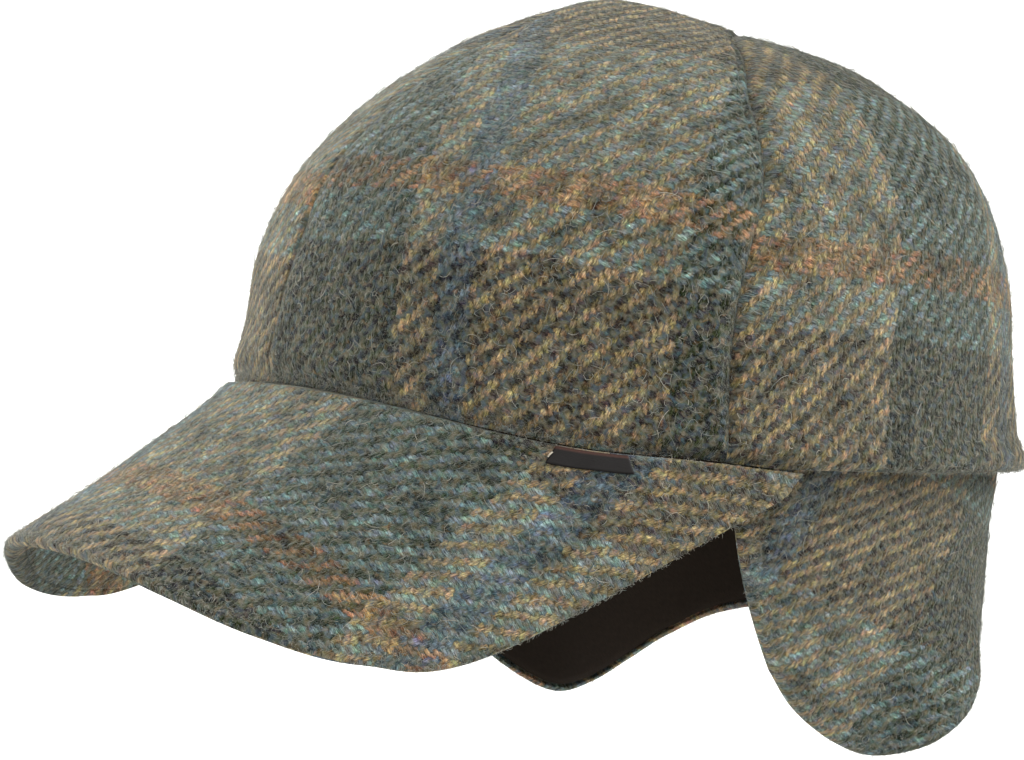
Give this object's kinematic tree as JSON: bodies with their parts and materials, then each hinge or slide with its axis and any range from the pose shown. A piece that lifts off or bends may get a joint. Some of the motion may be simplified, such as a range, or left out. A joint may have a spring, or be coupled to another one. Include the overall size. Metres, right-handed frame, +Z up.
{
  "type": "earflap baseball cap",
  "caption": "Woollen tweed baseball cap with a soft rounded crown, an arched visor and a lined earflap band hanging from the hem at the sides and nape.",
  "frame": {"origin": "middle of the head opening, level with the crown's hem, where the cap sits on a head", "axes": "+Z up through the crown, -Y forwards to the visor, +X to the wearer's left"},
  "size_m": [0.1742, 0.2595, 0.1769],
  "materials": {
    "tweed": "fuzzy woollen twill with a large soft check",
    "lining": "dark brown napped lining",
    "satin": "dark brown woven satin"
  },
  "bodies": {
    "root": {"crown_front_left": "tweed", "crown_front_right": "tweed", "crown_back_left": "tweed", "crown_back_right": "tweed", "visor_top": "tweed", "visor_under": "tweed", "earflap": "tweed", "earflap_lining": "lining", "label_tab": "satin"}
  },
  "joints": []
}
